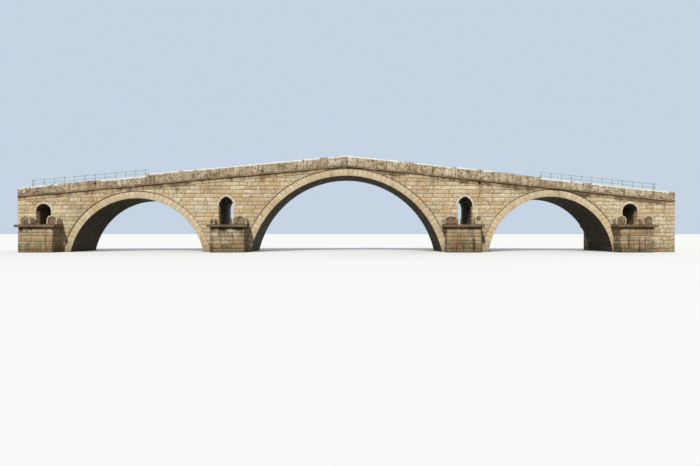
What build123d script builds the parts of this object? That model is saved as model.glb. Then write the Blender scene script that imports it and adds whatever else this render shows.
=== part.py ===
from build123d import *
import os
from math import acos, cos, sin, sqrt

# Humped stone bridge with three arches, modelled at half its real size, in millimetres.
# X runs along the bridge, Y across it and Z up. The origin is at water level, under the
# crown of the middle arch and halfway between the two faces. The front face looks along -Y.

# Arches: clear spans at the water, and the rise of the middle one
FACE_TO_FACE = 3000
CENTRE_SPAN = 10070
CENTRE_RISE = 4010
LEFT_SPAN = 6980
RIGHT_SPAN = 6510
# Ring of radial stones, set back a little from the face of the wall
RING_DEPTH = 375
RING_RECESS = 40
# Masonry between two neighbouring arches, measured at the water
LEFT_PIER_WIDTH = 2475
RIGHT_PIER_WIDTH = 2460

# Deck: two straight slopes that meet over the middle arch
LEFT_GRADE = 0.0925
RIGHT_GRADE = 0.106
# Wall left between the top of each ring and the underside of the cornice
CENTRE_COVER = 90
LEFT_COVER = 257.5
RIGHT_COVER = 50.5
SPANDREL_THICKNESS = 400
CORNICE_THICKNESS = 75
CORNICE_PROJECTION = 50
ROADWAY_THICKNESS = 100

# Parapets: solid slabs, lower near both ends of the bridge
PARAPET_THICKNESS = 150
PARAPET_PROJECTION = 25
PARAPET_HEIGHT = 525
LOW_PARAPET_HEIGHT = 425
# From the crown of a side arch back towards the middle, to where the parapet steps down
LEFT_STEP_OFFSET = 500
RIGHT_STEP_OFFSET = 550

# Relief openings: one over each pier and one in each end
SILL_LEVEL = 1430
OPENING_WIDTH = 770
RELIEF_RING = 130
# Jamb height of the river openings, and how far their heads rise above a half circle
RIVER_JAMB = 985
RIVER_POINT = 115
# Masonry left over the end openings, which have round heads
LEFT_END_COVER = 340
RIGHT_END_COVER = 230
# From the foot of the side arch to the middle of the end opening, and on to the end
LEFT_OPENING_OFFSET = 1410
RIGHT_OPENING_OFFSET = 895
LEFT_END_MARGIN = 1350
RIGHT_END_MARGIN = 2350

# Cutwaters: square blocks at the foot of each pier, under one coping slab each
CUTWATER_WIDTH = 1750
CUTWATER_PROJECTION = 750
RIVER_CUTWATER_SHIFT = 200
COPING_THICKNESS = 130
COPING_OVERHANG = 150
# Rounded stones on the coping, on both sides of each opening
CHEEK_SHOULDER = 280
CHEEK_CROWN = 200
CHEEK_DEPTH = 500
CHEEK_JAMB_GAP = 40
CHEEK_SETBACK = 60
# The outer stone at the front of the left pier is broken, and this much of it is left
BROKEN_CHEEK_WIDTH = 280
BROKEN_CHEEK_CROWN = 70

# Railings of thin metal bar on the low parapets
POST_SPACING = 535
POST_BAYS = 11
POST_HEIGHT = 350
POST_SIZE = 30
POST_STEP_GAP = 40
END_PAIR_SPACING = 80
RAIL_SIZE = 24
TOP_RAIL_LEVEL = 310
MIDDLE_RAIL_LEVEL = 140

# Sizes worked out from the ones above
FACE = FACE_TO_FACE / 2
WALL_BACK = FACE - SPANDREL_THICKNESS
RING_FACE = FACE - RING_RECESS
PARAPET_OUTER = FACE + PARAPET_PROJECTION
PARAPET_INNER = PARAPET_OUTER - PARAPET_THICKNESS
PARAPET_MIDDLE = (PARAPET_OUTER + PARAPET_INNER) / 2
OPENING_HALF = OPENING_WIDTH / 2
PARAPET_TOP = CORNICE_THICKNESS + PARAPET_HEIGHT
LOW_PARAPET_TOP = CORNICE_THICKNESS + LOW_PARAPET_HEIGHT
SIDES = {"front": -1, "back": 1}


def deck_level(x):
    # Underside of the cornice and of the roadway
    crown = CENTRE_RISE + RING_DEPTH + CENTRE_COVER
    grade = LEFT_GRADE if x < 0 else RIGHT_GRADE
    return crown - grade * abs(x)


class Arch:
    # A segmental arch whose feet stand at the water
    def __init__(self, x, span, rise):
        self.x = x
        self.half_span = span / 2
        self.rise = rise
        self.radius = (self.half_span**2 + rise**2) / (2 * rise)
        self.centre_z = rise - self.radius

    def outer_half_width(self, z):
        outer_radius = self.radius + RING_DEPTH
        return sqrt(outer_radius**2 - (z - self.centre_z) ** 2)


def side_rise(x, cover):
    return deck_level(x) - RING_DEPTH - cover


LEFT_X = -(CENTRE_SPAN / 2 + LEFT_PIER_WIDTH + LEFT_SPAN / 2)
RIGHT_X = CENTRE_SPAN / 2 + RIGHT_PIER_WIDTH + RIGHT_SPAN / 2
centre_arch = Arch(0, CENTRE_SPAN, CENTRE_RISE)
left_arch = Arch(LEFT_X, LEFT_SPAN, side_rise(LEFT_X, LEFT_COVER))
right_arch = Arch(RIGHT_X, RIGHT_SPAN, side_rise(RIGHT_X, RIGHT_COVER))


class Opening:
    # A small opening right through the bridge, whose sill is the top of the pier
    def __init__(self, x, springing, point):
        self.x = x
        self.springing = springing
        head_rise = OPENING_HALF + point
        # Each half of the head is struck from a centre this far past the middle
        self.lean = (head_rise**2 - OPENING_HALF**2) / (2 * OPENING_HALF)


def middle_of_pier(left, right):
    left_edge = left.x + left.outer_half_width(SILL_LEVEL)
    right_edge = right.x - right.outer_half_width(SILL_LEVEL)
    return (left_edge + right_edge) / 2


def river_opening(left, right):
    return Opening(middle_of_pier(left, right), SILL_LEVEL + RIVER_JAMB, RIVER_POINT)


def end_opening(x, cover):
    springing = deck_level(x) - cover - RELIEF_RING - OPENING_HALF
    return Opening(x, springing, 0)


openings = {
    "left_end": end_opening(LEFT_X - LEFT_SPAN / 2 - LEFT_OPENING_OFFSET, LEFT_END_COVER),
    "left_pier": river_opening(left_arch, centre_arch),
    "right_pier": river_opening(centre_arch, right_arch),
    "right_end": end_opening(RIGHT_X + RIGHT_SPAN / 2 + RIGHT_OPENING_OFFSET, RIGHT_END_COVER),
}
LEFT_END = openings["left_end"].x - LEFT_END_MARGIN
RIGHT_END = openings["right_end"].x + RIGHT_END_MARGIN

# Stretches of wall between the ends of the bridge and the crowns of its arches
stretches = {
    "left_end": (LEFT_END, left_arch.x),
    "left_pier": (left_arch.x, centre_arch.x),
    "right_pier": (centre_arch.x, right_arch.x),
    "right_end": (right_arch.x, RIGHT_END),
}


def point(x, z):
    return (x, 0, z)


def prism(edges, y_from, y_to):
    # An outline drawn in the plane of the face, carried across the bridge
    face = make_face(edges)
    return Pos(0, y_from, 0) * extrude(face, y_to - y_from, dir=(0, 1, 0))


def outline(corners):
    return Polyline([point(x, z) for x, z in corners], close=True).edges()


def band(x_from, x_to, low, high, y_from, y_to):
    # A course that follows the slope of the deck, between two heights above it
    corners = [
        (x_from, deck_level(x_from) + low),
        (x_to, deck_level(x_to) + low),
        (x_to, deck_level(x_to) + high),
        (x_from, deck_level(x_from) + high),
    ]
    return prism(outline(corners), y_from, y_to)


def side_band(side, x_from, x_to, low, high, y_inner, y_outer):
    y_from, y_to = sorted((side * y_inner, side * y_outer))
    return band(x_from, x_to, low, high, y_from, y_to)


def barrel(arch):
    foot = arch.outer_half_width(0)
    edges = [
        ThreePointArc(
            point(arch.x - foot, 0),
            point(arch.x, arch.rise + RING_DEPTH),
            point(arch.x + foot, 0),
        ),
        Line(point(arch.x + foot, 0), point(arch.x + arch.half_span, 0)),
        ThreePointArc(
            point(arch.x + arch.half_span, 0),
            point(arch.x, arch.rise),
            point(arch.x - arch.half_span, 0),
        ),
        Line(point(arch.x - arch.half_span, 0), point(arch.x - foot, 0)),
    ]
    return prism(edges, -RING_FACE, RING_FACE)


def arch_void(arch):
    # Everything inside the back of the ring, wider than the bridge
    disc = Cylinder(arch.radius + RING_DEPTH, 2 * FACE_TO_FACE)
    return Pos(arch.x, 0, arch.centre_z) * Rot(90, 0, 0) * disc


def head_arc(opening, hand, outset):
    # One half of a head, from its springing to its top, on the side given by hand
    radius = OPENING_HALF + opening.lean + outset
    turn = acos(opening.lean / radius)

    def at(angle):
        across = radius * cos(angle) - opening.lean
        return point(opening.x + hand * across, opening.springing + radius * sin(angle))

    return ThreePointArc(at(0), at(turn / 2), at(turn))


def head_edges(opening, outset):
    return [head_arc(opening, -1, outset), head_arc(opening, 1, outset)]


def opening_prism(opening, outset, y_from, y_to):
    # The opening from its sill up, made wider all round by the outset
    half = OPENING_HALF + outset
    left = opening.x - half
    right = opening.x + half
    edges = head_edges(opening, outset)
    edges.append(Line(point(left, SILL_LEVEL), point(left, opening.springing)))
    edges.append(Line(point(right, SILL_LEVEL), point(right, opening.springing)))
    edges.append(Line(point(left, SILL_LEVEL), point(right, SILL_LEVEL)))
    return prism(edges, y_from, y_to)


def head_prism(opening, outset, y_from, y_to):
    half = OPENING_HALF + outset
    edges = head_edges(opening, outset)
    edges.append(
        Line(
            point(opening.x - half, opening.springing),
            point(opening.x + half, opening.springing),
        )
    )
    return prism(edges, y_from, y_to)


def relief_arch(opening):
    # Ring of the head from face to face, on jambs that line the fill
    ring = head_prism(opening, RELIEF_RING, -FACE, FACE)
    lining = opening_prism(opening, RELIEF_RING, -WALL_BACK, WALL_BACK)
    return ring + lining - opening_prism(opening, 0, -FACE, FACE)


def pier(x_from, x_to, arches):
    corners = [(x_from, 0), (x_to, 0), (x_to, SILL_LEVEL), (x_from, SILL_LEVEL)]
    solid = prism(outline(corners), -FACE, FACE)
    for arch in arches:
        solid = solid - arch_void(arch)
    return solid


def wall_blank(x_from, x_to, arches, y_from, y_to):
    # Masonry from the sill up to the deck, behind the rings of the arches
    corners = [
        (x_from, SILL_LEVEL),
        (x_to, SILL_LEVEL),
        (x_to, deck_level(x_to)),
        (x_from, deck_level(x_from)),
    ]
    solid = prism(outline(corners), y_from, y_to)
    for arch in arches:
        solid = solid - arch_void(arch)
    return solid


def spandrel(x_from, x_to, arches, opening, side):
    y_from, y_to = sorted((side * WALL_BACK, side * FACE))
    solid = wall_blank(x_from, x_to, arches, y_from, y_to)
    solid = solid - opening_prism(opening, 0, y_from, y_to)
    return solid - head_prism(opening, RELIEF_RING, y_from, y_to)


def fill(x_from, x_to, arches, opening):
    solid = wall_blank(x_from, x_to, arches, -WALL_BACK, WALL_BACK)
    return solid - opening_prism(opening, RELIEF_RING, -WALL_BACK, WALL_BACK)


def block(x_from, x_to, side, y_inner, y_outer, low, high):
    y_from, y_to = sorted((side * y_inner, side * y_outer))
    corners = [(x_from, low), (x_to, low), (x_to, high), (x_from, high)]
    return prism(outline(corners), y_from, y_to)


def cutwater_x(name):
    # The river cutwaters stand a little nearer the middle of the bridge than their openings
    shift = {"left_pier": RIVER_CUTWATER_SHIFT, "right_pier": -RIVER_CUTWATER_SHIFT}
    return openings[name].x + shift.get(name, 0)


def cutwater(name, side):
    x = cutwater_x(name)
    half = CUTWATER_WIDTH / 2
    outer = FACE + CUTWATER_PROJECTION
    return block(x - half, x + half, side, FACE, outer, 0, SILL_LEVEL - COPING_THICKNESS)


def coping(name, side):
    x = cutwater_x(name)
    half = CUTWATER_WIDTH / 2 + COPING_OVERHANG
    outer = FACE + CUTWATER_PROJECTION + COPING_OVERHANG
    low = SILL_LEVEL - COPING_THICKNESS
    return block(x - half, x + half, side, FACE, outer, low, SILL_LEVEL)


def cheek(x_from, x_to, side, crown):
    # Straight sides up to the shoulder, then one low curve over the top
    shoulder = SILL_LEVEL + CHEEK_SHOULDER
    edges = [
        Line(point(x_from, SILL_LEVEL), point(x_to, SILL_LEVEL)),
        Line(point(x_to, SILL_LEVEL), point(x_to, shoulder)),
        ThreePointArc(
            point(x_to, shoulder),
            point((x_from + x_to) / 2, shoulder + crown),
            point(x_from, shoulder),
        ),
        Line(point(x_from, shoulder), point(x_from, SILL_LEVEL)),
    ]
    y_from, y_to = sorted((side * FACE, side * (FACE + CHEEK_DEPTH)))
    return prism(edges, y_from, y_to)


def cheek_pair(name, side):
    jamb = OPENING_HALF + CHEEK_JAMB_GAP
    reach = CUTWATER_WIDTH / 2 + COPING_OVERHANG - CHEEK_SETBACK
    outer_left = cutwater_x(name) - reach
    outer_right = cutwater_x(name) + reach
    inner_left = openings[name].x - jamb
    inner_right = openings[name].x + jamb
    right_stone = cheek(inner_right, outer_right, side, CHEEK_CROWN)
    if name == "left_pier" and side == SIDES["front"]:
        broken_end = outer_left + BROKEN_CHEEK_WIDTH
        left_stone = cheek(outer_left, broken_end, side, BROKEN_CHEEK_CROWN)
    else:
        left_stone = cheek(outer_left, inner_left, side, CHEEK_CROWN)
    return [left_stone, right_stone]


def parapet(end, step, side):
    # The high part from the crown of the bridge to the step, then the low part to the end
    high = side_band(
        side, 0, step, CORNICE_THICKNESS, PARAPET_TOP, PARAPET_INNER, PARAPET_OUTER
    )
    low = side_band(
        side, step, end, CORNICE_THICKNESS, LOW_PARAPET_TOP, PARAPET_INNER, PARAPET_OUTER
    )
    return high + low


def bar(side, x_from, x_to, low, high, thickness):
    y_inner = PARAPET_MIDDLE - thickness / 2
    y_outer = PARAPET_MIDDLE + thickness / 2
    return side_band(side, x_from, x_to, low, high, y_inner, y_outer)


def railing(step, hand, side):
    # Posts every bay from the step outwards, the last one doubled, and two rails through them
    first = step + hand * POST_STEP_GAP
    last = first + hand * POST_BAYS * POST_SPACING
    places = [first + hand * bay * POST_SPACING for bay in range(POST_BAYS + 1)]
    places.append(last + hand * END_PAIR_SPACING)
    half = POST_SIZE / 2
    top = LOW_PARAPET_TOP + POST_HEIGHT
    solid = bar(side, places[0] - half, places[0] + half, LOW_PARAPET_TOP, top, POST_SIZE)
    for x in places[1:]:
        solid = solid + bar(side, x - half, x + half, LOW_PARAPET_TOP, top, POST_SIZE)
    for level in (MIDDLE_RAIL_LEVEL, TOP_RAIL_LEVEL):
        low = LOW_PARAPET_TOP + level - RAIL_SIZE / 2
        solid = solid + bar(side, places[0], places[-1], low, low + RAIL_SIZE, RAIL_SIZE)
    return solid


neighbours = {
    "left_end": [left_arch],
    "left_pier": [left_arch, centre_arch],
    "right_pier": [centre_arch, right_arch],
    "right_end": [right_arch],
}
pier_nodes = {
    "left_end": "left_abutment",
    "left_pier": "left_pier",
    "right_pier": "right_pier",
    "right_end": "right_abutment",
}
# End of the bridge, step of the parapet and direction outwards on each hand
hands = {
    "left": (LEFT_END, left_arch.x + LEFT_STEP_OFFSET, -1),
    "right": (RIGHT_END, right_arch.x - RIGHT_STEP_OFFSET, 1),
}

nodes = {
    "centre_arch": barrel(centre_arch),
    "left_arch": barrel(left_arch),
    "right_arch": barrel(right_arch),
}
for name, (x_from, x_to) in stretches.items():
    arches = neighbours[name]
    opening = openings[name]
    nodes[pier_nodes[name]] = pier(x_from, x_to, arches)
    nodes[name + "_fill"] = fill(x_from, x_to, arches, opening)
    nodes[name + "_relief_arch"] = relief_arch(opening)
    nodes[name + "_cutwaters"] = Compound([cutwater(name, side) for side in SIDES.values()])
    for face_name, side in SIDES.items():
        wall = spandrel(x_from, x_to, arches, opening, side)
        nodes[face_name + "_" + name + "_spandrel"] = wall

for face_name, side in SIDES.items():
    nodes[face_name + "_copings"] = Compound([coping(name, side) for name in stretches])
    cheeks = []
    for name in stretches:
        cheeks.extend(cheek_pair(name, side))
    nodes[face_name + "_cheek_stones"] = Compound(cheeks)
    for hand_name, (end, step, hand) in hands.items():
        place = face_name + "_" + hand_name
        nodes[place + "_cornice"] = side_band(
            side, 0, end, 0, CORNICE_THICKNESS, PARAPET_INNER, FACE + CORNICE_PROJECTION
        )
        nodes[place + "_parapet"] = parapet(end, step, side)
        nodes[place + "_railing"] = railing(step, hand, side)

for hand_name, (end, step, hand) in hands.items():
    nodes[hand_name + "_roadway"] = band(
        0, end, 0, ROADWAY_THICKNESS, -PARAPET_INNER, PARAPET_INNER
    )

os.makedirs("parts", exist_ok=True)
for name, solid in nodes.items():
    export_step(solid, os.path.join("parts", name + ".step"))
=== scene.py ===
import bpy
import bmesh
import math
import random
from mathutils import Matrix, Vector, geometry, noise


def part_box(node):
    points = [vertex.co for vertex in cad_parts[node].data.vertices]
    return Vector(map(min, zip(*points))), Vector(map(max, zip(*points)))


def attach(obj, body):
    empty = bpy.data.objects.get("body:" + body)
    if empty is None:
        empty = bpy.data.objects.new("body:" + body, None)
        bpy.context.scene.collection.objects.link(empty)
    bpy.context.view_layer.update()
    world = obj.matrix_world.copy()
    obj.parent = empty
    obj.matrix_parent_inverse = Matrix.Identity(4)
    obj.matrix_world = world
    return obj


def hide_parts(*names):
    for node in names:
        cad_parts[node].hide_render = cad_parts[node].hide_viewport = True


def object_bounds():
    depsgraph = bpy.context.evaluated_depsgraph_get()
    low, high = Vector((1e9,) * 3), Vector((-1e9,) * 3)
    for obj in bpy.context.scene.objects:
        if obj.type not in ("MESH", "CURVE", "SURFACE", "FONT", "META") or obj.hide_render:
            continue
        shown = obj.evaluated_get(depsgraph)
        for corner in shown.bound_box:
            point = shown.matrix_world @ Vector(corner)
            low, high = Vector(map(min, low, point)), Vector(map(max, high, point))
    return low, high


noise.seed_set(7)  # the noise vectors are the same in every run
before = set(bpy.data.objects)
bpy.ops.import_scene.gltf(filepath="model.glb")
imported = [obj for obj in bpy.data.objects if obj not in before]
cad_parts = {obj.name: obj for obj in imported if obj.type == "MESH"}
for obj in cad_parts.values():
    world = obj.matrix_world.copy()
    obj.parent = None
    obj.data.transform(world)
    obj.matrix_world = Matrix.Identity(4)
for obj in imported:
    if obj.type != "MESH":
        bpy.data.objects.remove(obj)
for starter in ("Cube", "Light", "Camera"):  # what a new file holds
    if starter in bpy.data.objects:
        bpy.data.objects.remove(bpy.data.objects[starter])
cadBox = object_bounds()
print("frame loaded:", len(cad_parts), "nodes")


# Places that the masonry shares, read from the frame

hair = 0.001  # what lies this near to a plane is on it


def corners(node):
    return [vert.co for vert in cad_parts[node].data.vertices]


def lowestAt(node, x):
    return min(corner.z for corner in corners(node) if abs(corner.x - x) < hair)


wallLow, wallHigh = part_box("front_left_pier_spandrel")
faceY = -wallLow.y  # from the middle line of the bridge to each face
wallBack = -wallHigh.y
sill = wallLow.z
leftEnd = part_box("left_roadway")[0].x
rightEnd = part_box("right_roadway")[1].x
crown = lowestAt("left_roadway", 0.0)
leftGrade = (crown - lowestAt("left_roadway", leftEnd)) / -leftEnd
rightGrade = (crown - lowestAt("right_roadway", rightEnd)) / rightEnd
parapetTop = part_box("front_left_parapet")[1].z - crown


def deckLevel(x):
    return crown - (leftGrade if x < 0 else rightGrade) * abs(x)


def deckNormal(hand):
    return (-leftGrade, 0, 1) if hand < 0 else (rightGrade, 0, 1)


class Arch:
    def __init__(self, node):
        low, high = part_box(node)
        halfWidth = (high.x - low.x) / 2
        self.x = (low.x + high.x) / 2
        self.outer = (halfWidth ** 2 + high.z ** 2) / (2 * high.z)
        self.z = high.z - self.outer
        self.inner = min(math.hypot(p.x - self.x, p.z - self.z) for p in corners(node))

    def turn(self, point):  # angle round the arch, from the level on the right
        return math.atan2(point.z - self.z, point.x - self.x)

    def inward(self, face):  # does the face look into the arch
        centre = face.calc_center_median()
        return (self.x - centre.x) * face.normal.x + (self.z - centre.z) * face.normal.z > 0.5


# Shader wires: an expression on values adds its own math nodes

class Wire:
    def __init__(self, finish, socket):
        self.finish = finish
        self.socket = socket

    def joined(self, operation, first, second):
        return self.finish.add("ShaderNodeMath", {"operation": operation}, {0: first, 1: second})

    def __add__(self, other):
        return self.joined("ADD", self, other)

    def __sub__(self, other):
        return self.joined("SUBTRACT", self, other)

    def __rsub__(self, other):
        return self.joined("SUBTRACT", other, self)

    def __mul__(self, other):
        return self.joined("MULTIPLY", self, other)

    __radd__ = __add__
    __rmul__ = __mul__


def shade(red, green, blue):  # a screen colour, 0 to 255, as the linear colour of a socket
    parts = [value / 255 for value in (red, green, blue)]
    return (*[((part + 0.055) / 1.055) ** 2.4 for part in parts], 1.0)


class Finish:
    def __init__(self, holder, look):  # the holder is a new material, or the world
        self.holder = holder
        self.look = look
        self.colour = None
        holder.use_nodes = True
        self.tree = holder.node_tree
        self.tree.nodes.clear()

    def add(self, kind, settings, inputs, output=0):
        node = self.tree.nodes.new(kind)
        for key, value in settings.items():
            setattr(node, key, value)
        for key, value in inputs.items():
            if isinstance(value, Wire):
                self.tree.links.new(value.socket, node.inputs[key])
            else:
                node.inputs[key].default_value = value
        return Wire(self, node.outputs[output]) if node.outputs else None

    def place(self):  # the bridge's own metres
        return self.add("ShaderNodeTexCoord", {}, {}, "Object")

    def measured(self, place, axis):
        return self.add("ShaderNodeSeparateXYZ", {}, {"Vector": place}, axis)

    def attribute(self, name):
        return self.add("ShaderNodeAttribute", {"attribute_name": name}, {}, "Fac")

    def stretched(self, place, scale):
        return self.add("ShaderNodeMapping", {}, {"Vector": place, "Scale": scale})

    def grain(self, place, scale, detail=4.0, roughness=0.55):
        values = {"Vector": place, "Scale": scale, "Detail": detail, "Roughness": roughness}
        return self.add("ShaderNodeTexNoise", {}, values)

    def ranged(self, value, low, high, start=0.0, end=1.0):
        settings = {"interpolation_type": "SMOOTHSTEP", "clamp": True}
        values = {"Value": value, "From Min": low, "From Max": high, "To Min": start, "To Max": end}
        return self.add("ShaderNodeMapRange", settings, values)

    def blend(self, factor, first, second, mode="MIX"):
        settings = {"data_type": "RGBA", "blend_type": mode}
        return self.add("ShaderNodeMix", settings, {0: factor, 6: first, 7: second}, 2)

    def lay(self, name, mask, mode="MIX"):  # a shade of the look, over the colour so far
        share = mask * self.look[name + "Share"]
        self.colour = self.blend(share, self.colour, self.look[name], mode)

    def stain(self, name, mask):
        self.lay(name, mask, "MULTIPLY")

    def close(self, roughness, height, relief, constants):
        values = {"Base Color": self.colour, "Roughness": roughness} | constants
        values["Normal"] = self.add("ShaderNodeBump", {}, {"Height": height, "Distance": relief})
        return self.output(self.add("ShaderNodeBsdfPrincipled", {}, values))

    def output(self, surface, kind="ShaderNodeOutputMaterial"):
        self.add(kind, {}, {"Surface": surface})
        return self.holder

    def backdropFactor(self):  # one where the camera, a gloss or a glass ray looks
        total = self.add("ShaderNodeLightPath", {}, {}, "Is Camera Ray")
        rays = total.socket.node.outputs
        for name in ("Is Glossy Ray", "Is Transmission Ray"):
            total = total.joined("MAXIMUM", total, Wire(self, rays[name]))
        return total


commonLook = {
    "patch": 0.45,  # patches, blotches, mottles and grit are in cycles a metre
    "blotch": 2.6,
    "blotchShare": 0.0,
    "mottle": 7.0,
    "mottleShare": 0.75,
    "grit": 46.0,
    "gritShare": 0.2,
    "runGrain": (6.5, 6.5, 0.7),  # drawn out downwards
    "stoneContrast": 0.5,  # how much light and dark stones differ
    "bleach": shade(226, 210, 188),
    "bleachShare": 0.55,
    "warmShare": 0.75,
    "stain": shade(186, 160, 124),
    "stainShare": 0.45,
    "run": shade(158, 128, 92),
    "runShare": 0.45,
    "runFade": 0.0,
    # painted shade and staining, darkest just below the deck or the slab above
    "shelter": shade(112, 88, 60),
    "shelterReach": 0.26,
    "shelterShare": 0.0,
    "streaks": (),  # the middle of each and half its width
    "streak": shade(194, 157, 112),
    "streakReach": 1.1,
    "streakShare": 0.6,
    "damp": shade(112, 108, 84),
    "dampShare": 0.6,
    "dampTop": 0.75,
    "lichen": shade(172, 170, 152),
    "lichenShare": 0.25,
    "speck": shade(120, 100, 76),
    "speckShare": 0.45,
    "capShare": 0.0,
    # painted shade: the dark colour laid over the soffits and the linings of the openings
    "soot": shade(20, 19, 17),
    "joint": shade(96, 72, 46),
    "jointShare": 0.95,
    "limewash": shade(243, 241, 230),
    "limewashShare": 0.97,
    "relief": 0.007,
    "gloss": 0.25,
}


def stoneFinish(name, ownLook):
    look = commonLook | ownLook
    look |= zip(("deep", "pale", "warm"), [shade(*tone) for tone in look["tones"]])
    finish = Finish(bpy.data.materials.new(name), look)
    place = finish.place()
    x = finish.measured(place, "X")
    z = finish.measured(place, "Z")
    tone = finish.attribute("stoneTone")
    hue = finish.attribute("stoneHue")
    joint = finish.attribute("jointShade")
    fromTop = finish.attribute("fromTop")
    patch = finish.grain(place, look["patch"], 3.0)
    blotch = finish.grain(place, look["blotch"], 5.0, 0.62)
    bleach = finish.grain(place, look["blotch"] * 0.61, 4.0, 0.6)
    mottle = finish.grain(place, look["mottle"], 6.0, 0.62)
    grit = finish.grain(place, look["grit"], 3.0, 0.7)
    runs = finish.grain(finish.stretched(place, look["runGrain"]), 1.0, 4.0, 0.6)
    base = 0.405 - (look["stoneContrast"] + look["mottleShare"]) / 2  # keeps the mean tone
    light = tone * look["stoneContrast"] + mottle * look["mottleShare"] + grit * look["gritShare"]
    light = light + base + (blotch - 0.5) * look["blotchShare"]
    finish.colour = finish.blend(finish.ranged(light, 0.12, 0.9), look["deep"], look["pale"])
    finish.lay("bleach", finish.ranged(bleach + hue * 0.12, 0.58, 0.7))
    finish.lay("warm", finish.ranged(hue * 0.3 + blotch, 0.6, 0.8))
    finish.stain("stain", finish.ranged(patch + mottle * 0.25, 0.58, 0.82))
    finish.stain("run", finish.ranged(runs + fromTop * look["runFade"], 0.53, 0.7))
    # painted shade and staining under the cornice, and painted shadow under the slab on a cutwater
    below = fromTop + (blotch - 0.5) * 0.7 + (patch - 0.5) * 1.2
    finish.stain("shelter", finish.ranged(below, look["shelterReach"], -0.02))
    for middle, half in look["streaks"]:  # what ran out of the drains
        aside = x - middle + (patch - 0.5) * 0.4 + (mottle - 0.5) * 0.2
        reach = finish.ranged(fromTop + (mottle - 0.5) * 0.6, look["streakReach"], 0.1)
        finish.stain("streak", finish.ranged(aside * aside, half * half, 0.0) * reach)
    finish.stain("damp", finish.ranged(z + (mottle - 0.5) * 0.9, look["dampTop"], -0.05))
    finish.lay("lichen", finish.ranged(finish.grain(place, 3.1, 5.0, 0.7), 0.6, 0.68))
    finish.stain("speck", finish.ranged(finish.grain(place, 15.0, 3.0, 0.6), 0.6, 0.72))
    # painted shade over the soffits, by each face's soffitShade, patchy with the mottle
    paintedSoffitShade = finish.attribute("soffitShade") * (0.75 + mottle * 0.4)
    finish.colour = finish.blend(paintedSoffitShade, finish.colour, look["soot"], "MULTIPLY")
    if look["capShare"]:  # the weathered line under the rounded top of the slabs
        level = fromTop + (mottle - 0.5) * 0.06 + (tone - 0.5) * 0.05
        line = finish.ranged(level, 0.125, 0.14) * finish.ranged(level, 0.17, 0.15)
        parts = finish.ranged(bleach, 0.46, 0.6) * look["capShare"]
        finish.colour = finish.blend(line * parts, finish.colour, look["speck"], "MULTIPLY")
    finish.lay("joint", finish.ranged(joint + (mottle - 0.5) * 0.5, 0.12, 0.8))
    worn = finish.ranged(finish.grain(place, 2.3, 3.0, 0.6), 0.37, 0.42)
    edge = fromTop + (mottle - 0.5) * 0.05 + (runs - 0.5) * 0.08
    finish.lay("limewash", finish.attribute("limewash") * worn * finish.ranged(edge, 0.08, 0.055))
    roughness = finish.ranged(mottle, 0.3, 0.7, 0.96, 0.82)
    height = mottle * 0.65 + grit * 0.35
    return finish.close(roughness, height, look["relief"], {"Specular IOR Level": look["gloss"]})


wallStone = stoneFinish("coursedWallStone", {
    "tones": ((184, 162, 125), (247, 231, 200), (216, 184, 134)),
    "mottle": 9.5,
    "mottleShare": 1.9,
    "speckShare": 0.65,
    "warmShare": 0.62,
    "runFade": -0.04,
    "shelterShare": 0.85,
    "streaks": ((-13.28, 0.14), (-4.4, 0.24), (7.0, 0.14)),
})
ringStone = stoneFinish("archRingStone", {
    "tones": ((203, 183, 145), (243, 226, 194), (222, 188, 136)),
    "stoneContrast": 0.32,
    "mottle": 9.5,
    "mottleShare": 1.3,
    "stainShare": 0.3,
    "warmShare": 0.5,
    "jointShare": 0.75,
})
copingStone = stoneFinish("copingStone", {
    "tones": ((84, 71, 56), (160, 142, 114), (140, 110, 84)),
    "lichenShare": 0.5,
    "bleachShare": 0.1,
})
parapetStone = stoneFinish("parapetSlabStone", {
    "tones": ((136, 116, 89), (235, 218, 189), (176, 146, 108)),
    "stoneContrast": 0.24,
    "mottle": 9.0,
    "mottleShare": 2.4,
    "blotch": 4.2,
    "blotchShare": 1.6,
    "warmShare": 0.35,
    "bleach": shade(212, 197, 166),
    "bleachShare": 0.6,
    "runShare": 0.5,
    "lichenShare": 0.45,
    "speckShare": 0.85,
    "capShare": 0.6,
    "streaks": ((-13.5, 0.13),),
    "streakReach": 1.6,
})
pavingStone = stoneFinish("pavingStone", {
    "tones": ((128, 116, 98), (182, 170, 148), (160, 140, 116)),
})
rubbleStone = stoneFinish("rubbleCoreStone", {
    "tones": ((122, 106, 82), (190, 172, 138), (168, 134, 100)),
    "relief": 0.014,
})
reliefStone = stoneFinish("reliefArchStone", {
    "tones": ((216, 204, 176), (243, 235, 214), (226, 206, 172)),
})
cutwaterStone = stoneFinish("cutwaterStone", {
    "tones": ((132, 115, 88), (214, 197, 162), (186, 150, 108)),
    "run": shade(120, 100, 74),
    "runShare": 0.9,
    # painted shadow under the slab that lies on the cutwater
    "shelter": shade(70, 58, 44),
    "shelterReach": 0.12,
    "shelterShare": 0.9,
})
cheekStone = stoneFinish("cheekStone", {
    "tones": ((94, 79, 62), (220, 204, 174), (150, 122, 95)),
    "joint": shade(62, 46, 34),
    "stoneContrast": 0.9,
    "blotch": 5.0,
    "bleachShare": 0.35,
    "lichenShare": 0.6,
    "speckShare": 0.7,
})
corniceStone = stoneFinish("corniceStone", {
    "tones": ((112, 94, 70), (178, 158, 126), (158, 126, 94)),
})


def paintFinish(name, look):
    finish = Finish(bpy.data.materials.new(name), look)
    place = finish.place()
    coat = finish.grain(place, 5.0, 5.0, 0.6)
    specks = finish.grain(place, 38.0, 5.0, 0.7)
    finish.colour = finish.blend(finish.ranged(coat, 0.35, 0.65), look["deep"], look["pale"])
    rust = finish.ranged(specks * 0.6 + coat * 0.5, 0.6, 0.68)
    finish.lay("rust", rust)
    return finish.close(rust * 0.35 + 0.42, specks, look["relief"], {})


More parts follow.
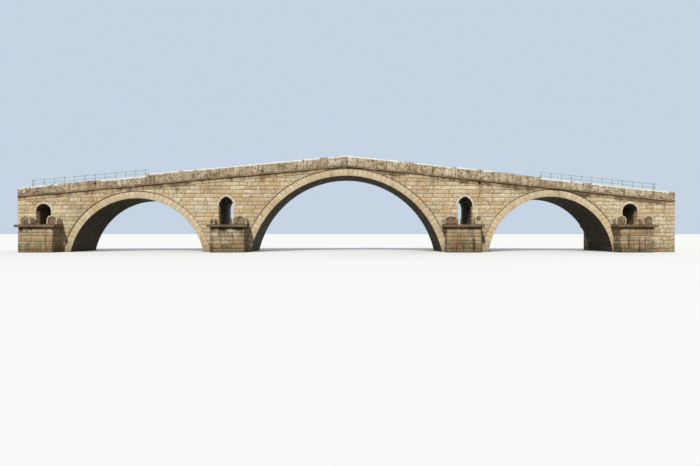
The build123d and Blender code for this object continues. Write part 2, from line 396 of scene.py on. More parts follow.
railPaint = paintFinish("railPaint", {
    "deep": shade(156, 176, 171),
    "pale": shade(205, 218, 213),
    "rust": shade(122, 84, 58),
    "rustShare": 0.9,
    "relief": 0.0015,
})
print("stone finishes made")


# Hand work that the pieces share

def only(*pieces):
    bpy.ops.object.select_all(action="DESELECT")
    bpy.context.view_layer.objects.active = pieces[0]
    for piece in pieces:
        piece.select_set(True)


def camel(node):
    first, *rest = node.split("_")
    return first + "".join(word.capitalize() for word in rest)


def merged(node):
    # a copy of a frame node whose loose triangles are joined, left open in edit mode
    piece = bpy.data.objects.new(camel(node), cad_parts[node].data.copy())
    bpy.context.scene.collection.objects.link(piece)
    only(piece)
    bpy.ops.object.mode_set(mode="EDIT")
    bpy.ops.mesh.select_mode(type="FACE")
    bpy.ops.mesh.select_all(action="SELECT")
    bpy.ops.mesh.customdata_custom_splitnormals_clear()
    bpy.ops.mesh.remove_doubles(threshold=0.0001)
    return piece


def handOver(piece, node, slotName, material):
    piece.name = camel(node)
    piece.data.materials.clear()
    piece.data.materials.append(material)
    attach(piece, "root")
    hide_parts(node)


def flattened(face, verts):
    across = face.normal.orthogonal().normalized()
    along = face.normal.cross(across)
    return across, along, [Vector((vert.co.dot(across), vert.co.dot(along))) for vert in verts]


def cornerWays(flat, number):  # along the side that arrives at a corner, and the one that leaves
    arriving = (flat[number] - flat[number - 1]).normalized()
    leaving = (flat[(number + 1) % len(flat)] - flat[number]).normalized()
    return arriving, leaving


def sidesHit(flat, number, far):  # where a line from a corner meets the other sides
    for other in range(len(flat)):
        following = (other + 1) % len(flat)
        if number in (other, following):
            continue
        ends = flat[other], flat[following]
        hit = geometry.intersect_line_line_2d(flat[number], far, *ends)
        if hit:
            yield other, following, hit


def looks(face, axis, hand=0):  # does it look along the axis, to this hand or to either
    along = getattr(face.normal, axis)
    return (along * hand if hand else abs(along)) > 0.9


def spans(face, axis, middle, reach):  # does the face come within reach of the middle
    spread = [getattr(vert.co, axis) for vert in face.verts]
    return min(spread) < middle + reach and max(spread) > middle - reach


def atFace(face):  # on the front or the back of the bridge
    return looks(face, "y") and abs(face.calc_center_median().y) > faceY - hair


def behind(face, y):  # across the bridge, and no further out than this
    return looks(face, "y") and abs(face.calc_center_median().y) < y + hair


def atBridgeEnd(face):
    x = face.calc_center_median().x
    return looks(face, "x") and (abs(x - leftEnd) < hair or abs(x - rightEnd) < hair)


def dissolve():
    bpy.ops.mesh.dissolve_edges(use_verts=False)


def collapse():
    bpy.ops.mesh.merge(type="COLLAPSE")


handSizes = {
    "flatAngle": 0.5,  # in degrees, as the next two
    "sliverAngle": 1,
    "smoothAngle": 32,
    "oneCurve": 0.9,  # facets whose normals agree more than this are one curved face
    "sliverRounds": 5,
    "upright": 0.7,
    "spurTurn": -0.15,  # a corner that turns back more than this is hollow
    "spurShare": 0.7,  # of the narrowest stone that is kept
    "spurEnd": 0.006,  # a cut that ends this near a corner ends in it
    "shortCore": 0.0025,
    "mostInset": 2.5,  # in thicknesses of the border
    "mostShare": 0.3,  # of the width of the stone
    "turnedShare": 0.02,  # an edge that is left with less than this has turned round
    "farOff": 9.0,
    "levelFaces": 0.98,
    "arrisDirt": 0.4,
    "calm": (0.0, 0.3, 0.6),  # at an arris, on the ring beside it, and on the next
}


class Masonry:
    # a copy of a frame node whose faces are cut into stones

    def __init__(self, node, shows):
        self.node = node
        self.rng = random.Random(node)
        self.low, self.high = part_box(node)
        self.piece = merged(node)
        bpy.ops.mesh.dissolve_limited(angle_limit=math.radians(handSizes["flatAngle"]))
        mesh = self.mesh()
        for name in ("shown", "course", "stone", "hollow", "core"):
            mesh.faces.layers.int.new(name)
        for name in ("stoneTone", "stoneHue", "soffitShade", "limewash"):
            mesh.faces.layers.float.new(name)
        mesh.verts.layers.int.new("ring")
        for name in ("jointShade", "fromTop"):
            mesh.verts.layers.float.new(name)
        shown = self.layer("shown")
        for face in mesh.faces:
            face[shown] = int(bool(shows(face)))
        for edge in mesh.edges:  # a bed against another piece is a joint too
            edge.seam = len({face[shown] for face in edge.link_faces}) == 2
        self.update()

    def mesh(self):
        return bmesh.from_edit_mesh(self.piece.data)

    def update(self):
        bmesh.update_edit_mesh(self.piece.data)

    def layer(self, name):
        return self.mesh().faces.layers.int[name]

    def marked(self, name):  # a test for the faces with this mark
        layer = self.layer(name)
        return lambda face: face[layer] > 0

    def keepMarks(self):
        bmesh.update_edit_mesh(self.piece.data, loop_triangles=False, destructive=False)

    def choose(self, test):  # selects the faces that pass
        bpy.ops.mesh.select_all(action="DESELECT")
        chosen = [face for face in self.mesh().faces if test(face)]
        for face in chosen:
            face.select_set(True)
        self.keepMarks()
        return len(chosen)

    def onEdges(self, edges, work):
        bpy.ops.mesh.select_all(action="DESELECT")
        bpy.ops.mesh.select_mode(type="EDGE")
        for edge in edges:
            edge.select_set(True)
        self.update()
        if edges:
            work()
        bpy.ops.mesh.select_mode(type="FACE")

    def cut(self, point, normal, test=None, course=None):
        # a joint through the shown faces that pass, in one course or in all of them
        isShown = self.marked("shown")
        courses = self.layer("course")

        def crossed(face):
            inCourse = course is None or face[courses] == course
            return isShown(face) and inCourse and (test is None or test(face))

        if self.choose(crossed):
            bpy.ops.mesh.bisect(plane_co=point, plane_no=normal)
            bpy.ops.mesh.mark_seam(clear=False)

    def number(self, courseOf):
        isShown = self.marked("shown")
        course = self.layer("course")
        for face in self.mesh().faces:
            if isShown(face):
                face[course] = courseOf(face)
        self.keepMarks()

    def stagger(self, start, end, lengths, avoid=(), clear=0.08):
        # joints along one course, kept off those of the course before
        shortest, longest = lengths
        places = []
        here = start + self.rng.uniform(0.5, 1.0) * longest
        while here < end - shortest * 0.7:
            tries = 0
            while any(abs(here - other) < clear for other in avoid) and tries < 5:
                here += clear * 0.5
                tries += 1
            places.append(here)
            here += self.rng.uniform(shortest, longest)
        return places

    def acrossX(self, places, test=None, slant=0.02, course=None):
        for x in places:
            normal = (1, 0, self.rng.uniform(-slant, slant))

            def near(face, x=x):
                return spans(face, "x", x, 0.02) and (test is None or test(face))

            self.cut((x, 0, (self.low.z + self.high.z) / 2), normal, near, course)

    def acrossY(self, courses, lengths, test=None, leanOf=None):
        # leanOf gives the height and the normal of each joint
        before = []
        for course in courses:
            before = self.stagger(self.low.y, self.high.y, lengths, before)
            for y in before:
                height, normal = leanOf(course) if leanOf else (0, (0, 1, 0))
                self.cut((0, y, height), normal, test, course)

    def pierce(self, x, z, half, side):
        # a small square drain outlet that straddles a joint, sunk into the stone later
        def crossed(face):
            there = spans(face, "x", x, half) and spans(face, "z", z, half)
            return there and looks(face, "y", side)

        for step in (-half, half):
            for point, normal in (((x + step, 0, z), (1, 0, 0)), ((x, 0, z + step), (0, 0, 1))):
                if self.choose(crossed):
                    bpy.ops.mesh.bisect(plane_co=point, plane_no=normal)
        mesh = self.mesh()
        shown = self.layer("shown")
        hollow = self.layer("hollow")
        for face in mesh.faces:
            centre = face.calc_center_median()
            within = abs(centre.x - x) < half and abs(centre.z - z) < half
            if within and looks(face, "y", side):
                face[hollow] = 1
                face[shown] = 0
        for edge in mesh.edges:
            if any(face[hollow] for face in edge.link_faces):
                edge.seam = len({face[hollow] for face in edge.link_faces}) == 2
        self.update()

    def sink(self, depth):
        isHollow = self.marked("hollow")
        for side in (-1, 1):
            if self.choose(lambda face: isHollow(face) and face.normal.y * side > 0.5):
                move = {"value": (0, -side * depth, 0)}
                bpy.ops.mesh.extrude_region_move(TRANSFORM_OT_translate=move)

    def smoothOut(self):
        # the facets of one stone's curved face become a single face again
        isShown = self.marked("shown")
        inside = []
        for edge in self.mesh().edges:
            faces = edge.link_faces
            if edge.seam or len(faces) != 2 or not all(isShown(face) for face in faces):
                continue
            if faces[0].normal.dot(faces[1].normal) > handSizes["oneCurve"]:
                inside.append(edge)
        self.onEdges(inside, dissolve)

    def spurCut(self, face, narrow):
        # where a joint that ends at a hollow corner would cut off a thin spur, if it ran on
        verts = list(face.verts)
        flat = flattened(face, verts)[2]
        for number, corner in enumerate(verts):
            arriving, leaving = cornerWays(flat, number)
            if arriving.cross(leaving) > handSizes["spurTurn"]:
                continue
            for way in (arriving, -leaving):
                for other, following, hit in sidesHit(flat, number, flat[number] + way * narrow):
                    side = flat[following] - flat[other]
                    share = (hit - flat[other]).length / side.length
                    return corner, verts[other], verts[following], share
        return None

    def trimSpurs(self, narrow):
        mesh = self.mesh()
        waiting = list(filter(self.marked("shown"), mesh.faces))
        while waiting:
            face = waiting.pop()
            found = self.spurCut(face, narrow)
            if not found:
                continue
            corner, first, second, share = found
            edge = mesh.edges.get((first, second))
            if share * edge.calc_length() < handSizes["spurEnd"]:
                opposite = first
            elif (1 - share) * edge.calc_length() < handSizes["spurEnd"]:
                opposite = second
            else:
                opposite = bmesh.utils.edge_split(edge, first, share)[1]
            if mesh.edges.get((corner, opposite)):
                continue
            new = bmesh.utils.face_split(face, corner, opposite)[0]
            mesh.edges.get((corner, opposite)).seam = True
            waiting += [face, new]
        self.update()

    def joinSlivers(self, least):
        # a stone lower or narrower than this becomes part of its neighbour
        for attempt in range(handSizes["sliverRounds"]):
            self.trimSpurs(least * handSizes["spurShare"])
            isShown = self.marked("shown")
            used = set()
            between = []
            for face in self.mesh().faces:
                if not isShown(face) or face.index in used:
                    continue
                reach = max((vert.co - face.verts[0].co).length for vert in face.verts)
                if face.calc_area() / max(reach, 0.001) > least:
                    continue
                shared = {}
                for edge in face.edges:
                    for other in edge.link_faces:
                        level = other.normal.dot(face.normal) > handSizes["levelFaces"]
                        if other != face and isShown(other) and level and other.index not in used:
                            shared.setdefault(other, []).append(edge)
                if shared:
                    best = max(shared, key=lambda o: sum(e.calc_length() for e in shared[o]))
                    used.update((face.index, best.index))
                    between += shared[best]
            if not used:
                return
            self.onEdges(between, dissolve)
            self.choose(self.marked("shown"))
            limit = math.radians(handSizes["sliverAngle"])
            bpy.ops.mesh.dissolve_limited(angle_limit=limit, delimit={"SEAM"})

    def countStones(self):
        # faces that no joint parts are one stone, so that stones go round corners
        isShown = self.marked("shown")
        stone = self.layer("stone")
        count = 0
        for start in self.mesh().faces:
            if start[stone] or not isShown(start):
                continue
            count += 1
            start[stone] = count
            waiting = [start]
            while waiting:
                joinings = [edge for edge in waiting.pop().edges if not edge.seam]
                for other in [face for edge in joinings for face in edge.link_faces]:
                    if isShown(other) and not other[stone]:
                        other[stone] = count
                        waiting.append(other)
        self.keepMarks()
        return count

    def closeShort(self, distance, test):
        # edges shorter than this close to a point, on the faces that pass
        short = [edge for edge in self.mesh().edges if edge.calc_length() < distance]
        self.onEdges([edge for edge in short if any(map(test, edge.link_faces))], collapse)

    def splitEdges(self, reach):
        # more points along the outline of each stone, for its hand-cut edges
        mesh = self.mesh()
        isShown = self.marked("shown")
        byCuts = {}
        for edge in mesh.edges:
            if any(map(isShown, edge.link_faces)):
                byCuts.setdefault(int(edge.calc_length() / reach), []).append(edge)
        for cuts, edges in sorted(byCuts.items()):
            if cuts:
                bmesh.ops.bisect_edges(mesh, edges=edges, cuts=cuts)
        self.update()

    def insetRing(self, thickness, ringNumber):
        # a border inside each stone, drawn in less where the stone is narrow
        bpy.ops.mesh.inset(use_individual=True, thickness=thickness, depth=0.0)
        mesh = self.mesh()
        ring = mesh.verts.layers.int["ring"]
        core = self.layer("core")
        for face in mesh.faces:
            face[core] = int(face.select)
            if not face.select:
                continue
            inner = list(face.verts)
            outer = []
            for vert in inner:
                vert[ring] = ringNumber
                linked = [edge.other_vert(vert) for edge in vert.link_edges]
                outer.append(next(other for other in linked if not other.select))
            across, along, flat = flattened(face, outer)
            for number, vert in enumerate(inner):
                reach = vert.co - outer[number].co
                way = Vector((reach.dot(across), reach.dot(along)))
                if way.length < 0.0001:
                    continue
                arriving, leaving = cornerWays(flat, number)
                inwards = Vector((-arriving.y - leaving.y, arriving.x + leaving.x)).normalized()
                if way.dot(inwards) < 0:  # a tiny edge threw it out of the stone
                    bisector = across * inwards.x + along * inwards.y
                    vert.co = outer[number].co + bisector * thickness * 0.5
                    continue
                far = flat[number] + way.normalized() * handSizes["farOff"]
                hits = [(hit - flat[number]).length for *sides, hit in sidesHit(flat, number, far)]
                width = min(hits, default=handSizes["farOff"])
                most = min(thickness * handSizes["mostInset"], width * handSizes["mostShare"])
                if reach.length > most:
                    vert.co = outer[number].co + reach * (most / reach.length)
            for number in [*range(len(inner))] * 2:  # an edge that has turned round closes
                following = (number + 1) % len(inner)
                was = outer[following].co - outer[number].co
                now = inner[following].co - inner[number].co
                if now.dot(was) < was.length_squared * handSizes["turnedShare"]:
                    middle = (inner[following].co + inner[number].co) / 2
                    inner[number].co = middle
                    inner[following].co = middle
        self.keepMarks()
        self.closeShort(handSizes["shortCore"], self.marked("core"))
        self.choose(self.marked("core"))

    def lie(self, cutting):  # how one stone sits, how light it is and how warm
        lift = self.rng.uniform(-1, 1) * cutting["uneven"]
        tilt = Vector([self.rng.uniform(-1, 1) * cutting["tilt"] for axis in range(3)])
        tone = min(max(self.rng.gauss(0.5, cutting["toneSpread"]), 0.0), 1.0)
        return lift, tilt, tone, self.rng.random()

    def dress(self, cutting, soffitOf, topOf):
        # joints sink between the stones, and each stone gets worn edges and its own lie
        self.smoothOut()
        self.joinSlivers(cutting["least"])
        self.closeShort(cutting["shortEdge"], self.marked("shown"))
        count = self.countStones()
        self.splitEdges(cutting["splitEdges"])
        self.choose(self.marked("stone"))
        self.insetRing(cutting["gap"] / 2, 1)
        self.insetRing(cutting["worn"], 2)
        lies = [self.lie(cutting) for number in range(count + 1)]
        mesh = self.mesh()
        isShown = self.marked("shown")
        stone = self.layer("stone")
        ring = mesh.verts.layers.int["ring"]
        joint = mesh.verts.layers.float["jointShade"]
        tone, hue, soffit = (
            mesh.faces.layers.float[name] for name in ("stoneTone", "stoneHue", "soffitShade")
        )
        moves = {}
        ways = {}
        calm = {}  # an arris is worn and not wavy, or its two sides would cross
        atArris, besideArris, nextArris = handSizes["calm"]
        for vert in mesh.verts:
            faces = list(filter(isShown, vert.link_faces))
            if vert[ring] or not faces:
                continue
            ways[vert] = sum((face.normal for face in faces), Vector()).normalized()
            seams = [e for e in vert.link_edges if e.seam and not e.other_vert(vert)[ring]]
            if seams:
                runs = [(edge.verts[0].co - edge.verts[1].co).normalized() for edge in seams]
                # bed joints get the full dark and upright ones less: the beds' extra dark is
                # painted shade from above
                upright = all(abs(run.z) > handSizes["upright"] for run in runs)
                vert[joint] = cutting["uprightDirt"] if upright else 1.0
                moves[vert] = -cutting["depth"]
            else:
                vert[joint] = handSizes["arrisDirt"]
                calm[vert] = atArris
                nick = noise.noise(vert.co * cutting["nickScale"])
                moves[vert] = -cutting["arris"] * (1 + nick)
        for face in mesh.faces:
            lift, tilt, face[tone], face[hue] = lies[face[stone]]
            if soffitOf:
                face[soffit] = soffitOf(face)
            if not face.select:
                continue
            centre = face.calc_center_median()
            for vert in face.verts:
                ways[vert] = face.normal.copy()
                moves[vert] = lift + tilt.dot(vert.co - centre)
                for other in [edge.other_vert(vert) for edge in vert.link_edges]:
                    if other[ring] != 1:
                        continue
                    if any(calm.get(e.other_vert(other)) == atArris for e in other.link_edges):
                        calm[other] = besideArris
                        calm[vert] = nextArris
                    chip = 0.0
                    if self.rng.random() < cutting["chips"]:
                        chip = self.rng.uniform(0.2, 1.0) * cutting["chip"]
                    other[joint] = cutting["edgeDirt"]
                    ways[other] = ways[vert]
                    moves[other] = moves[vert] - cutting["cushion"] - chip
        for vert, way in ways.items():
            wander = noise.noise_vector(vert.co * cutting["wanderScale"]) * cutting["wander"]
            wander += noise.noise_vector(vert.co * cutting["nickScale"]) * cutting["nick"]
            wander -= wander.project(way)  # the outline wanders, and the face stays even
            there = vert.co + way * moves[vert] + wander * calm.get(vert, 1.0)
            vert.co = [min(max(there[axis], cadBox[0][axis]), cadBox[1][axis]) for axis in range(3)]
        if topOf:
            topOf(mesh)
        self.update()
        return count

    def complete(self, cutting, slotName, material, soffitOf=None, topOf=None, drainDepth=0.0):
        count = self.dress(cutting, soffitOf, topOf)
        if drainDepth:
            self.sink(drainDepth)
        bpy.ops.object.mode_set(mode="OBJECT")
        only(self.piece)
        bpy.ops.object.shade_smooth_by_angle(angle=math.radians(handSizes["smoothAngle"]))
        handOver(self.piece, self.node, slotName, material)
        return count


commonCutting = {
    "gap": 0.018,
    "worn": 0.014,
    "depth": 0.018,
    "arris": 0.004,
    "cushion": 0.004,
    "uneven": 0.005,
    "tilt": 0.012,
    "wander": 0.004,
    "wanderScale": 5.0,
    "nick": 0.004,
    "nickScale": 17.0,
    "chips": 0.1,
    "chip": 0.01,
    "splitEdges": 0.11,
    "least": 0.075,
    "shortEdge": 0.01,
    "toneSpread": 0.2,
    "edgeDirt": 0.42,
    # upright joints are less dark than the beds, whose extra dark is painted shade from above
    "uprightDirt": 0.62,
}
courseSizes = {"belowSill": 7, "inAll": 24, "uneven": 0.014, "least": 0.05}
courseRng = random.Random("courses")
courseStep = sill / courseSizes["belowSill"]
courses = [  # the level of each bed but the sill's own
    courseStep * number + courseRng.uniform(-courseSizes["uneven"], courseSizes["uneven"])
    for number in range(1, courseSizes["inAll"]) if number != courseSizes["belowSill"]
]


def bedsBetween(low, high):
    return [level for level in courses if low + courseSizes["least"] < level < high]


def rowOf(face, axis, places):  # 1 for the first row
    return 1 + sum(getattr(face.calc_center_median(), axis) > place for place in places)


def fromDeck(mesh):
    # how far each point lies below the deck, for the stains and the painted shade under the cornice
    fromTop = mesh.verts.layers.float["fromTop"]
    for vert in mesh.verts:
        vert[fromTop] = deckLevel(vert.co.x) - vert.co.z


def nodesEnding(*endings):
    return [name for name in sorted(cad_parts) if name.endswith(endings)]


def buildAll(stage, builders):
    # each builder makes the nodes with its endings, and says of how many stones
    counts = [build(node) for build, *endings in builders for node in nodesEnding(*endings)]
    print(stage + ":", sum(counts), "stones")


# Spandrel walls and piers

wallSizes = {
    "lengths": (0.36, 0.68),
    "slopedLengths": (0.36, 0.8),
    "slopedCourse": 0.19,  # the top course follows the deck
    "courseTilt": 0.003,
    "quoin": 0.13,
    "quoinClear": 0.17,
    "endOffset": 0.2,
    "drains": (7.01,),
    "drainDrop": 0.1,  # of its middle below the deck
    "drainHalf": 0.05,
    "drainDepth": 0.3,
}
slopedNumber = 100  # of the top course


def buildWall(node):
    low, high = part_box(node)
    isPier = high.z < sill + 0.01
    side = 1 if low.y > 0 else -1
    jambs = ()
    if not isPier:
        opening = node.removeprefix("front_").removeprefix("back_")
        jambs = [corner.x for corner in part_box(opening.replace("spandrel", "relief_arch"))]

    def shows(face):
        if isPier:  # with the floor of the opening above
            return atFace(face) or atBridgeEnd(face) or looks(face, "z", 1)
        inJamb = looks(face, "x") and jambs[0] < face.calc_center_median().x < jambs[1]
        return atFace(face) or atBridgeEnd(face) or inJamb

    def inBand(face):
        depth = wallSizes["slopedCourse"] + 0.002
        return not isPier and all(deckLevel(v.co.x) - v.co.z < depth for v in face.verts)

    def courseOf(face):
        return slopedNumber if inBand(face) else rowOf(face, "z", levels)

    wall = Masonry(node, shows)
    middle = (low.x + high.x) / 2
    if not isPier:
        wall.cut((0, 0, crown - wallSizes["slopedCourse"]), deckNormal(middle))
    levels = bedsBetween(low.z, high.z)
    for level in levels:
        tilt = wall.rng.uniform(-1, 1) * wallSizes["courseTilt"]
        wall.cut((middle, 0, level), (tilt, 0, 1), lambda face: not inBand(face))
    wall.number(courseOf)
    quoins = [jambs[0] + wallSizes["quoin"], jambs[1] - wallSizes["quoin"]] if jambs else []
    before = []
    for number in [*range(1, len(levels) + 2), slopedNumber]:
        lengths = wallSizes["slopedLengths" if number == slopedNumber else "lengths"]
        for way in (-1, 1) if isPier else (side,):
            before = [
                x for x in wall.stagger(low.x, high.x, lengths, before)
                if all(abs(x - quoin) > wallSizes["quoinClear"] for quoin in quoins)
            ]
            wall.acrossX(before, lambda face: looks(face, "y", way), course=number)
        for x in wallSizes["drains"]:
            if number == slopedNumber and low.x < x < high.x:
                wall.acrossX([x], slant=0.0, course=number)
                drop = deckLevel(x) - wallSizes["drainDrop"]
                wall.pierce(x, drop, wallSizes["drainHalf"], side)
        if isPier:  # upright joints on the cut end of an abutment
            offset = wallSizes["endOffset"] * (number % 2)
            for y in wall.stagger(low.y + offset, high.y, wallSizes["lengths"]):
                wall.cut((0, y, 0), (0, 1, 0), atBridgeEnd, number)
    if isPier:
        for y in wall.stagger(low.y, high.y, wallSizes["lengths"]):
            wall.cut((0, y, 0), (0, 1, 0), lambda face: looks(face, "z", 1))
    depth = wallSizes["drainDepth"]
    return wall.complete(commonCutting, "wall_stone", wallStone, topOf=fromDeck, drainDepth=depth)


buildAll("walls and piers", [(buildWall, "_spandrel", "_pier", "_abutment")])


# Barrels: the ring of radial stones shows at both faces, and their soffit underneath

barrelSizes = {
    "stone": 0.25,  # along the ring
    "lengths": (0.42, 0.86),  # across the bridge
    "patterns": 4,
    "unequal": 0.06,  # share of a stone by which its joints are off
    # painted shade inside the barrel: its share where the soffit faces straight down, and where it
    # stands upright at the feet
    "overheadSoot": 0.95,
    "footSoot": 0.88,
    "back": 0.026,
    "openBack": 0.013,
}
barrelCutting = commonCutting | {
    "gap": 0.011,
    "worn": 0.012,
    "depth": 0.012,
    "uneven": 0.003,
    "tilt": 0.006,
    "wander": 0.002,
    "nick": 0.002,
    "chips": 0.05,
    "chip": 0.006,
    "splitEdges": 0.16,
    "toneSpread": 0.14,
    "edgeDirt": 0.25,
    "least": 0.05,
}


def buildBarrel(node):
    sizes = barrelSizes
    arch = Arch(node)

    def inside(face):
        return abs(face.normal.y) < 0.1 and arch.inward(face)

    barrel = Masonry(node, lambda face: looks(face, "y") or inside(face))
    start = math.asin(-arch.z / arch.inner)
    sweep = math.pi - 2 * start
    count = 2 * round(arch.inner * sweep / sizes["stone"] / 2) + 1  # one is the keystone
    step = sweep / count
    nearby = 1.5 * step
    unequal = sizes["unequal"]
    for number in range(1, count):
        angle = start + step * (number + barrel.rng.uniform(-unequal, unequal))

        def close(face, angle=angle):
            return any(abs(arch.turn(vert.co) - angle) < nearby for vert in face.verts)

        barrel.cut((arch.x, 0, arch.z), (-math.sin(angle), 0, math.cos(angle)), close)

    def pattern(face):
        if not inside(face):
            return 0
        strip = 1 + int((arch.turn(face.calc_center_median()) - start) / step + 0.001)
        return 1 + strip % sizes["patterns"]

    barrel.number(pattern)
    barrel.acrossY(range(1, sizes["patterns"] + 1), sizes["lengths"])

    def openBack(mesh):
        # the joint between the ring and the wall has lost its mortar, and is wide and dark
        fromDeck(mesh)
        ring = mesh.verts.layers.int["ring"]
        joint = mesh.verts.layers.float["jointShade"]
        for vert in mesh.verts:
            out = Vector((vert.co.x - arch.x, 0, vert.co.z - arch.z))
            if vert[ring] and out.length > arch.outer - sizes["back"]:
                vert.co -= out.normalized() * sizes["openBack"]
                vert.co.z = max(vert.co.z, cadBox[0][2])
                vert[joint] = 1.0 if vert[ring] == 1 else vert[joint]

    # painted shade on the inside of the barrel, darker the more it faces down
    def soot(face):
        overhead = max(-face.normal.z, 0.0)
        share = sizes["footSoot"] + overhead * (sizes["overheadSoot"] - sizes["footSoot"])
        return share if inside(face) else 0.0

    return barrel.complete(barrelCutting, "ring_stone", ringStone, soot, openBack)


buildAll("barrels", [(buildBarrel, "centre_arch", "left_arch", "right_arch")])


# Relief arches: a pale ring over each small opening, and the lining inside it

# the last value here is the share of painted shade on the lining inside each opening
reliefSizes = {"headStones": 7, "lengths": (0.4, 0.7), "soot": 0.9}
reliefCutting = barrelCutting | {"gap": 0.01, "worn": 0.01, "least": 0.03}


def buildRelief(node):
    low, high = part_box(node)
    x = (low.x + high.x) / 2
    springing = min(p.z for p in corners(node) if abs(p.y) > wallBack + 0.01)

    def inside(face):
        centre = face.calc_center_median()
        toAxis = Vector((x - centre.x, 0, min(springing - centre.z, 0)))
        return abs(face.normal.y) < 0.1 and toAxis.normalized().dot(face.normal) > 0.5

    relief = Masonry(node, lambda face: atFace(face) or inside(face))
    relief.cut((x, 0, springing), (0, 0, 1), inside)
    for number in range(1, reliefSizes["headStones"]):
        angle = math.pi * number / reliefSizes["headStones"]
        normal = (-math.sin(angle), 0, math.cos(angle))
        relief.cut((x, 0, springing), normal, lambda face: face.calc_center_median().z > springing)
    for level in bedsBetween(sill, springing - courseSizes["least"]):
        point = (x, 0, level)
        relief.cut(point, (0, 0, 1), lambda face: face.calc_center_median().z < springing)

    def pattern(face):
        return int(inside(face)) * (1 + int(face.calc_center_median().z / courseStep) % 2)

    relief.number(pattern)
    relief.acrossY((1, 2), reliefSizes["lengths"])

    # painted shade on the lining inside the opening
    def soot(face):
        return reliefSizes["soot"] * int(inside(face))

    return relief.complete(reliefCutting, "ring_stone", reliefStone, soot)


buildAll("relief arches", [(buildRelief, "_relief_arch")])


# Cutwaters, the slabs on them and the rounded stones beside the openings

cutwaterSizes = {
    "lengths": (0.4, 0.75),
    "returns": (0.3, 0.45),
    "slant": 0.03,
    "courseTilt": 0.004,
    "topCourse": 0.06,  # the least height of the top course
}
cutwaterCutting = commonCutting | {
    "gap": 0.02,
    "cushion": 0.006,
    "uneven": 0.01,
    "tilt": 0.02,
    "wander": 0.008,
}
copingSizes = {"slabs": 3, "shift": 0.12, "slant": 0.04}
slabCutting = commonCutting | {
    "gap": 0.024,
    "worn": 0.018,
    "depth": 0.016,
    "arris": 0.011,
    "cushion": 0.006,
    "least": 0.02,
    "uneven": 0.003,
    "wander": 0.008,
}
cutwaterNodes = nodesEnding("_cutwaters")


def buildCutwaters(node):
    low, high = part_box(node)
    blocks = Masonry(node, lambda face: abs(face.normal.z) < 0.1 and not behind(face, faceY))
    levels = bedsBetween(low.z, high.z - cutwaterSizes["topCourse"])
    tilt = cutwaterSizes["courseTilt"]
    for level in levels:
        blocks.cut((0, 0, level), (blocks.rng.uniform(-tilt, tilt), 0, 1))
    blocks.number(lambda face: rowOf(face, "z", levels))
    before = []
    for number in range(1, len(levels) + 2):
        for side in (-1, 1):
            def onReturn(face):
                return looks(face, "x") and face.calc_center_median().y * side > 0

            before = blocks.stagger(low.x, high.x, cutwaterSizes["lengths"], before)
            slant = cutwaterSizes["slant"]
            blocks.acrossX(before, lambda face: looks(face, "y", side), slant, number)
            reach = faceY + cutwaterSizes["returns"][number % 2]
            blocks.cut((0, side * reach, 0), (0, 1, 0), onReturn, number)

    def fromSlab(mesh):  # the dark band of painted shadow under the slab that lies on the cutwater
        fromTop = mesh.verts.layers.float["fromTop"]
        for vert in mesh.verts:
            vert[fromTop] = high.z - vert.co.z

    return blocks.complete(cutwaterCutting, "wall_stone", cutwaterStone, topOf=fromSlab)


def buildCopings(node):
    slabs = Masonry(node, lambda face: not behind(face, faceY))
    shift = copingSizes["shift"]
    for cutwater in cutwaterNodes:
        low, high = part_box(cutwater)
        length = (high.x - low.x) / copingSizes["slabs"]
        for number in range(1, copingSizes["slabs"]):
            x = low.x + length * number + slabs.rng.uniform(-shift, shift)
            slabs.acrossX([x], slant=copingSizes["slant"])
    return slabs.complete(slabCutting, "coping_stone", copingStone)


buildAll("cutwaters and copings", [(buildCutwaters, "_cutwaters"), (buildCopings, "_copings")])

cheekSizes = {
    "voxel": 0.019,
    "smoothing": {"factor": 0.6, "iterations": 4},
    "rough": 0.022,
    "roughScale": 5.5,
    "pitted": 0.01,
    "pittedScale": 22.0,
    "shoulder": 0.28,  # from the slab to where the curve of the top starts
    "border": 0.07,  # the plain band round the carved face
    "groove": 0.016,
    "grooveDepth": 0.02,
    "panelDepth": 0.006,
    "bed": 0.03,
    "mottleScale": 9.0,
    "mottleTone": 0.5,
    "borderTone": 0.75,  # how light the border is, and how much darker the panel
    "panelDark": 0.65,
    "panelWarm": 0.7,
    "footDirt": 0.8,
    "footFade": 9,  # how much of that dirt goes in a metre
}


def applied(piece, kind, settings):
    modifier = piece.modifiers.new("step", kind)
    for key, value in settings.items():
        setattr(modifier, key, value)
    only(piece)
    bpy.ops.object.modifier_apply(modifier=modifier.name)


def islands(mesh):
    # the ends and top of each separate stone in a mesh, from left to right
    joined = bmesh.new()
    joined.from_mesh(mesh)
    waiting = set(joined.verts)
    stones = []
    while waiting:
        island = [waiting.pop()]
        for vert in island:
            for other in [edge.other_vert(vert) for edge in vert.link_edges]:
                if other in waiting:
                    waiting.remove(other)
                    island.append(other)
        places = [vert.co.x for vert in island]
        stones.append((min(places), max(places), max(vert.co.z for vert in island)))
    joined.free()
    return sorted(stones)


